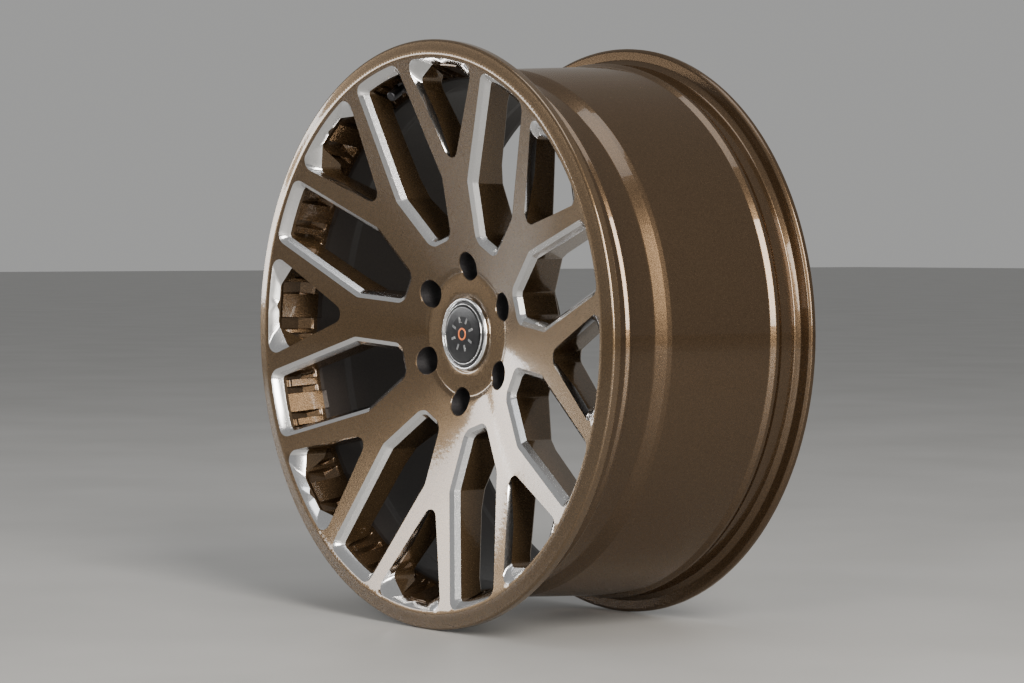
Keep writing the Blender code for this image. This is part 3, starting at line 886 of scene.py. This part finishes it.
def colour_ramp(nodes, links, source, low, high, low_at=0.0, high_at=1.0):
    ramp = nodes.new("ShaderNodeValToRGB")
    ramp.color_ramp.elements[0].position = low_at
    ramp.color_ramp.elements[1].position = high_at
    ramp.color_ramp.elements[0].color = (*low, 1)
    ramp.color_ramp.elements[1].color = (*high, 1)
    links.new(source, ramp.inputs["Fac"])
    return ramp


def value_range(nodes, links, source, low, high):
    remap = nodes.new("ShaderNodeMapRange")
    remap.inputs["To Min"].default_value = low
    remap.inputs["To Max"].default_value = high
    links.new(source, remap.inputs["Value"])
    return remap


def add_bump(nodes, links, shader, source, strength, distance):
    bump = nodes.new("ShaderNodeBump")
    bump.inputs["Strength"].default_value = strength
    bump.inputs["Distance"].default_value = distance
    links.new(source, bump.inputs["Height"])
    links.new(bump.outputs["Normal"], shader.inputs["Normal"])


def metallic_paint(name, dark, light, metallic, roughness, coat, tint=(1.0, 1.0, 1.0)):
    """Metallic paint: flakes that differ a little in colour, gloss and height, under a coat."""
    material, nodes, links, shader = new_material(name)
    coordinates = nodes.new("ShaderNodeTexCoord")
    flakes = nodes.new("ShaderNodeTexVoronoi")
    flakes.inputs["Scale"].default_value = 1600.0
    links.new(coordinates.outputs["Object"], flakes.inputs["Vector"])
    split = nodes.new("ShaderNodeSeparateColor")
    links.new(flakes.outputs["Color"], split.inputs["Color"])
    ramp = colour_ramp(nodes, links, split.outputs["Red"], dark, light)
    links.new(ramp.outputs["Color"], shader.inputs["Base Color"])
    rough = value_range(nodes, links, split.outputs["Green"], roughness - 0.04, roughness + 0.06)
    links.new(rough.outputs["Result"], shader.inputs["Roughness"])
    add_bump(nodes, links, shader, split.outputs["Blue"], 0.04, 0.0001)
    peel = object_noise(nodes, links, 220.0, 2.0)
    waves = nodes.new("ShaderNodeBump")
    waves.inputs["Strength"].default_value = 0.35
    waves.inputs["Distance"].default_value = 0.0001
    links.new(peel.outputs["Fac"], waves.inputs["Height"])
    links.new(waves.outputs["Normal"], shader.inputs["Coat Normal"])
    shader.inputs["Metallic"].default_value = metallic
    shader.inputs["Coat Weight"].default_value = coat
    shader.inputs["Coat Roughness"].default_value = 0.06
    shader.inputs["Coat Tint"].default_value = (*tint, 1)
    shader.inputs["Specular Tint"].default_value = (*tint, 1)
    return material


def machined_metal(name, dark, light, roughness, grain_scale):
    """Bare metal with a fine grain in its colour, gloss and surface."""
    material, nodes, links, shader = new_material(name)
    noise = object_noise(nodes, links, grain_scale, 4.0)
    ramp = colour_ramp(nodes, links, noise.outputs["Fac"], dark, light, 0.3, 0.7)
    links.new(ramp.outputs["Color"], shader.inputs["Base Color"])
    rough = value_range(nodes, links, noise.outputs["Fac"], roughness - 0.05, roughness + 0.08)
    links.new(rough.outputs["Result"], shader.inputs["Roughness"])
    add_bump(nodes, links, shader, noise.outputs["Fac"], 0.03, 0.0001)
    shader.inputs["Metallic"].default_value = 1.0
    return material


def moulded(name, dark, light, roughness, grain_scale, grain, coat=0.0):
    """Plastic, rubber or enamel with a fine grain."""
    material, nodes, links, shader = new_material(name)
    noise = object_noise(nodes, links, grain_scale, 3.0)
    ramp = colour_ramp(nodes, links, noise.outputs["Fac"], dark, light, 0.35, 0.65)
    links.new(ramp.outputs["Color"], shader.inputs["Base Color"])
    rough = value_range(nodes, links, noise.outputs["Fac"], roughness - 0.04, roughness + 0.06)
    links.new(rough.outputs["Result"], shader.inputs["Roughness"])
    add_bump(nodes, links, shader, noise.outputs["Fac"], grain, 0.0001)
    shader.inputs["Coat Weight"].default_value = coat
    shader.inputs["Coat Roughness"].default_value = 0.04
    return material


def make_materials():
    """Every material of the wheel, under a short name."""
    return {
        "face_paint": metallic_paint(
            "bronze_face_paint", (0.076, 0.051, 0.028), (0.128, 0.088, 0.050),
            metallic=0.8, roughness=0.27, coat=0.9, tint=(0.95, 0.88, 0.79)),
        "barrel_paint": metallic_paint(
            "bronze_barrel_paint", (0.055, 0.037, 0.021), (0.092, 0.063, 0.038),
            metallic=0.8, roughness=0.26, coat=0.5, tint=(0.80, 0.67, 0.53)),
        # Darker paint for the barrel's deep inside: painted shade, not a real coat.
        "inside_painted_shade": metallic_paint(
            "painted_shade_inside", (0.018, 0.014, 0.012), (0.032, 0.025, 0.021),
            metallic=0.6, roughness=0.45, coat=0.2),
        "milled": machined_metal(
            "milled_alloy", (0.66, 0.66, 0.67), (0.78, 0.78, 0.78),
            roughness=0.16, grain_scale=900.0),
        "silver": machined_metal(
            "polished_silver", (0.80, 0.80, 0.81), (0.90, 0.90, 0.90),
            roughness=0.12, grain_scale=500.0),
        "steel": machined_metal(
            "turned_steel", (0.36, 0.36, 0.37), (0.46, 0.46, 0.47),
            roughness=0.35, grain_scale=900.0),
        "dark_alloy": machined_metal(
            "dark_anodised_alloy", (0.05, 0.05, 0.055), (0.09, 0.09, 0.095),
            roughness=0.35, grain_scale=900.0),
        "brass": machined_metal(
            "turned_brass", (0.50, 0.34, 0.12), (0.60, 0.42, 0.17),
            roughness=0.30, grain_scale=900.0),
        "socket": machined_metal(
            "dark_socket_alloy", (0.10, 0.095, 0.10), (0.16, 0.155, 0.16),
            roughness=0.45, grain_scale=700.0),
        "plastic": moulded(
            "moulded_black", (0.010, 0.010, 0.011), (0.018, 0.018, 0.019),
            roughness=0.42, grain_scale=2500.0, grain=0.15),
        "gloss": moulded(
            "gloss_black", (0.004, 0.004, 0.005), (0.008, 0.008, 0.009),
            roughness=0.20, grain_scale=300.0, grain=0.0),
        "orange": moulded(
            "orange_enamel", (0.62, 0.13, 0.02), (0.70, 0.17, 0.03),
            roughness=0.25, grain_scale=400.0, grain=0.0, coat=0.6),
        "rubber": moulded(
            "seal_rubber", (0.012, 0.012, 0.012), (0.022, 0.022, 0.021),
            roughness=0.75, grain_scale=1800.0, grain=0.3),
    }


# ---------------------------------------------------------------- stage

def make_floor():
    material, nodes, links, shader = new_material("stage_floor_grey")
    noise = object_noise(nodes, links, 3.0, 6.0)
    ramp = colour_ramp(nodes, links, noise.outputs["Fac"], (0.29, 0.288, 0.28),
                       (0.34, 0.337, 0.33), 0.3, 0.7)
    links.new(ramp.outputs["Color"], shader.inputs["Base Color"])
    shader.inputs["Roughness"].default_value = 0.42
    half = 40.0
    signs = ((-1, -1), (1, -1), (1, 1), (-1, 1))
    corners = [(half * x, half * y, FLOOR_Z) for x, y in signs]
    mesh = bpy.data.meshes.new("stage_floor")
    mesh.from_pydata(corners, [], [(0, 1, 2, 3)])
    mesh.materials.append(material)
    floor = add_object("stage_floor", mesh)


def soft_light(name, location, size, power, colour=(1, 1, 1)):
    """Area light aimed at the wheel's centre, unseen by the camera."""
    data = bpy.data.lights.new(name, "AREA")
    data.shape = "RECTANGLE"
    data.size = size[0]
    data.size_y = size[1]
    data.energy = power
    data.color = colour
    lamp = add_object(name, data)
    lamp.location = location
    lamp.rotation_mode = "QUATERNION"
    lamp.rotation_quaternion = (-Vector(location)).to_track_quat("-Z", "Y")
    lamp.visible_camera = False


def make_lights():
    world = bpy.data.worlds.new("stage_world")
    world.use_nodes = True
    background = world.node_tree.nodes["Background"]
    background.inputs["Color"].default_value = (0.80, 0.80, 0.79, 1)
    background.inputs["Strength"].default_value = 0.46
    bpy.context.scene.world = world
    soft_light("right_light", (3.7, -1.2, 1.6), (1.3, 3.0), 400, (1.0, 0.95, 0.88))
    soft_light("top_light", (0.5, -0.2, 3.9), (2.2, 2.6), 60, (0.97, 0.98, 1.0))
    soft_light("sky_light", (-3.3, -2.35, 0.60), (2.1, 0.54), 38)
    soft_light("left_light", (-3.9, -1.05, 0.26), (0.9, 0.5), 12)
    soft_light("front_light", (2.2, -3.2, 1.1), (1.0, 1.4), 90, (1.0, 0.95, 0.88))


def make_camera():
    """Camera at the front right, almost level with the wheel's axis."""
    azimuth = math.radians(51.74)
    elevation = math.radians(1.75)
    distance = 3.14602
    shift_right = 0.09159
    shift_up = -0.0066
    back = Vector((math.sin(azimuth) * math.cos(elevation), -math.cos(azimuth) * math.cos(elevation),
                   math.sin(elevation)))
    right = Vector((math.cos(azimuth), math.sin(azimuth), 0))
    up = back.cross(right)
    data = bpy.data.cameras.new("camera")
    data.sensor_width = 36.0
    data.lens = 109.1
    data.dof.use_dof = False
    camera = add_object("camera", data)
    camera.location = Vector((0, FRONT_Y, 0)) + back * distance + right * shift_right + up * shift_up
    camera.rotation_mode = "QUATERNION"
    camera.rotation_quaternion = (-back).to_track_quat("-Z", "Y")
    bpy.context.scene.camera = camera


# ---------------------------------------------------------------- assembly

def make_wheel():
    """Every piece of the wheel, on its body."""
    looks = make_materials()
    disc = make_disc(looks["face_paint"], looks["milled"], looks["socket"])
    show(disc, "wheel", "bronze_paint", "face_disc")
    barrel = make_barrel(looks["barrel_paint"], looks["inside_painted_shade"])
    show(barrel, "wheel", "barrel_paint", "rim_barrel")
    make_lug_seats(looks["steel"])
    make_centre_cap(looks["plastic"], looks["silver"], looks["gloss"], looks["steel"],
                    looks["orange"])
    make_valve(looks["dark_alloy"], looks["steel"], looks["rubber"], looks["brass"])


make_camera()
make_wheel()
make_floor()
make_lights()
